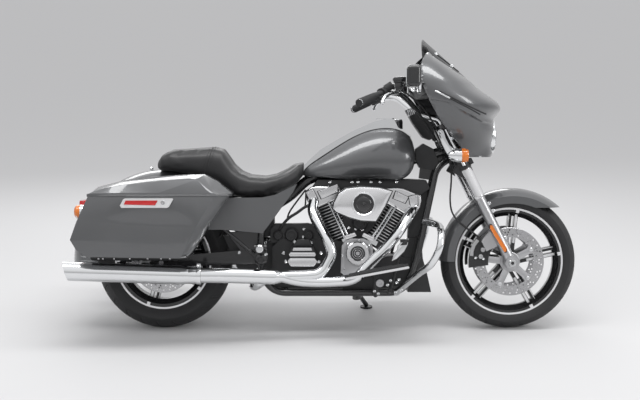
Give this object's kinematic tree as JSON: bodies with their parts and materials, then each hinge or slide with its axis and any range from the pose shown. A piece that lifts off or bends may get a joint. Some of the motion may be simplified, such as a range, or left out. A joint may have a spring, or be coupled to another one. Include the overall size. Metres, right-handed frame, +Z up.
{
  "type": "touring motorcycle",
  "caption": "Touring cruiser motorcycle with fork-mounted fairing, hard saddlebags and a V engine, parked on its side stand.",
  "frame": {"origin": "middle of the bounding box's base, on the ground", "axes": "+X forward, +Y to the rider's left, +Z up; the motorcycle leans 8 degrees to its left on its side stand"},
  "size_m": [2.3729, 1.0622, 1.35],
  "materials": {
    "grey_paint": "metallic gloss",
    "black_paint": "gloss",
    "black_plastic": "matte",
    "chrome": "polished",
    "silver_alloy": "satin",
    "bright_steel": "brushed",
    "black_gloss": "gloss",
    "tyre": "matte",
    "rubber": "matte",
    "leather": "soft satin",
    "smoked_screen": "smoked",
    "clear_lens": "clear",
    "red_lens": "gloss"
  },
  "bodies": {
    "motorcycle": {"main_frame": "black_paint", "swingarm": "black_paint", "shock_absorbers": "bright_steel", "drive_belt": "rubber", "engine_guard": "chrome", "board_brackets": "black_paint", "foot_controls": "chrome", "fuel_tank": "grey_paint", "tank_console": "chrome", "seat": "leather", "side_covers": "grey_paint", "rear_fender": "grey_paint", "saddlebag_right": "grey_paint", "saddlebag_left": "grey_paint", "bag_latches": "red_lens", "tail_lamps": "red_lens", "engine_case": "silver_alloy", "cylinders": "black_paint", "rocker_covers": "chrome", "pushrod_tubes": "chrome", "cam_cover": "chrome", "gearbox_cover": "chrome", "primary_cover": "chrome", "air_cleaner": "silver_alloy", "air_insert": "black_gloss", "horn_cover": "chrome", "exhaust_pipes": "chrome", "mufflers": "chrome", "oil_cooler": "black_paint", "battery_box": "black_plastic", "rear_caliper": "black_paint", "rear_axle": "bright_steel"},
    "front_end": {"fork_tree": "black_paint", "fork_legs": "silver_alloy", "front_axle": "bright_steel", "front_fender": "grey_paint", "front_calipers": "black_paint", "fairing": "grey_paint", "dash": "black_plastic", "windscreen": "smoked_screen", "headlight": "clear_lens", "front_lamps": "chrome", "handlebar": "chrome", "hand_controls": "rubber", "mirrors": "black_paint"},
    "front_wheel": {"front_tyre": "tyre", "front_rim": "black_paint", "front_discs": "bright_steel"},
    "rear_wheel": {"rear_tyre": "tyre", "rear_rim": "black_paint", "rear_disc": "bright_steel", "rear_pulley": "silver_alloy"},
    "side_stand": {"side_stand": "black_paint"},
    "bag_lid_right": {"bag_lid_right": "grey_paint"},
    "bag_lid_left": {"bag_lid_left": "grey_paint"},
    "fuel_door": {"fuel_door": "chrome"},
    "floorboard_right": {"floorboard_right": "rubber"},
    "floorboard_left": {"floorboard_left": "rubber"},
    "peg_right": {"peg_right": "rubber"},
    "peg_left": {"peg_left": "rubber"}
  },
  "joints": [
    {"name": "steering", "type": "hinge", "parent": "motorcycle", "child": "front_end", "pos_m": [0.62066, -0.01122, 0.8555], "axis": [-0.4384, 0.1251, 0.89], "range_deg": [-32, 32]},
    {"name": "front_wheel_spin", "type": "hinge", "parent": "front_end", "child": "front_wheel", "pos_m": [0.8685, -0.08704, 0.31596], "axis": [0, 0.9903, -0.1392], "continuous": true},
    {"name": "rear_wheel_spin", "type": "hinge", "parent": "motorcycle", "child": "rear_wheel", "pos_m": [-0.7565, -0.08676, 0.31794], "axis": [0, 0.9903, -0.1392], "continuous": true},
    {"name": "side_stand_fold", "type": "hinge", "parent": "motorcycle", "child": "side_stand", "pos_m": [0.1565, 0.07377, 0.12371], "axis": [-0.0666, 0.6669, 0.7422], "range_deg": [0, 103.7]},
    {"name": "bag_lid_right_open", "type": "hinge", "parent": "motorcycle", "child": "bag_lid_right", "pos_m": [-0.6935, -0.49333, 0.69439], "axis": [1, 0, 0], "range_deg": [0, 80]},
    {"name": "bag_lid_left_open", "type": "hinge", "parent": "motorcycle", "child": "bag_lid_left", "pos_m": [-0.6935, 0.40781, 0.56774], "axis": [-1, 0, 0], "range_deg": [0, 80]},
    {"name": "fuel_door_open", "type": "hinge", "parent": "motorcycle", "child": "fuel_door", "pos_m": [0.24277, 0.00584, 0.97684], "axis": [0, -0.9903, 0.1392], "range_deg": [0, 85]},
    {"name": "floorboard_right_fold", "type": "hinge", "parent": "motorcycle", "child": "floorboard_right", "pos_m": [0.08941, -0.34752, 0.30197], "axis": [-0.9833, -0.0254, -0.1805], "range_deg": [0, 45]},
    {"name": "floorboard_left_fold", "type": "hinge", "parent": "motorcycle", "child": "floorboard_left", "pos_m": [0.08941, 0.15949, 0.23072], "axis": [0.9833, 0.0254, 0.1805], "range_deg": [0, 45]},
    {"name": "peg_right_fold", "type": "hinge", "parent": "motorcycle", "child": "peg_right", "pos_m": [-0.2935, -0.29985, 0.42564], "axis": [-1, 0, 0], "range_deg": [0, 80]},
    {"name": "peg_left_fold", "type": "hinge", "parent": "motorcycle", "child": "peg_left", "pos_m": [-0.2935, 0.14775, 0.36274], "axis": [1, 0, 0], "range_deg": [0, 80]}
  ]
}
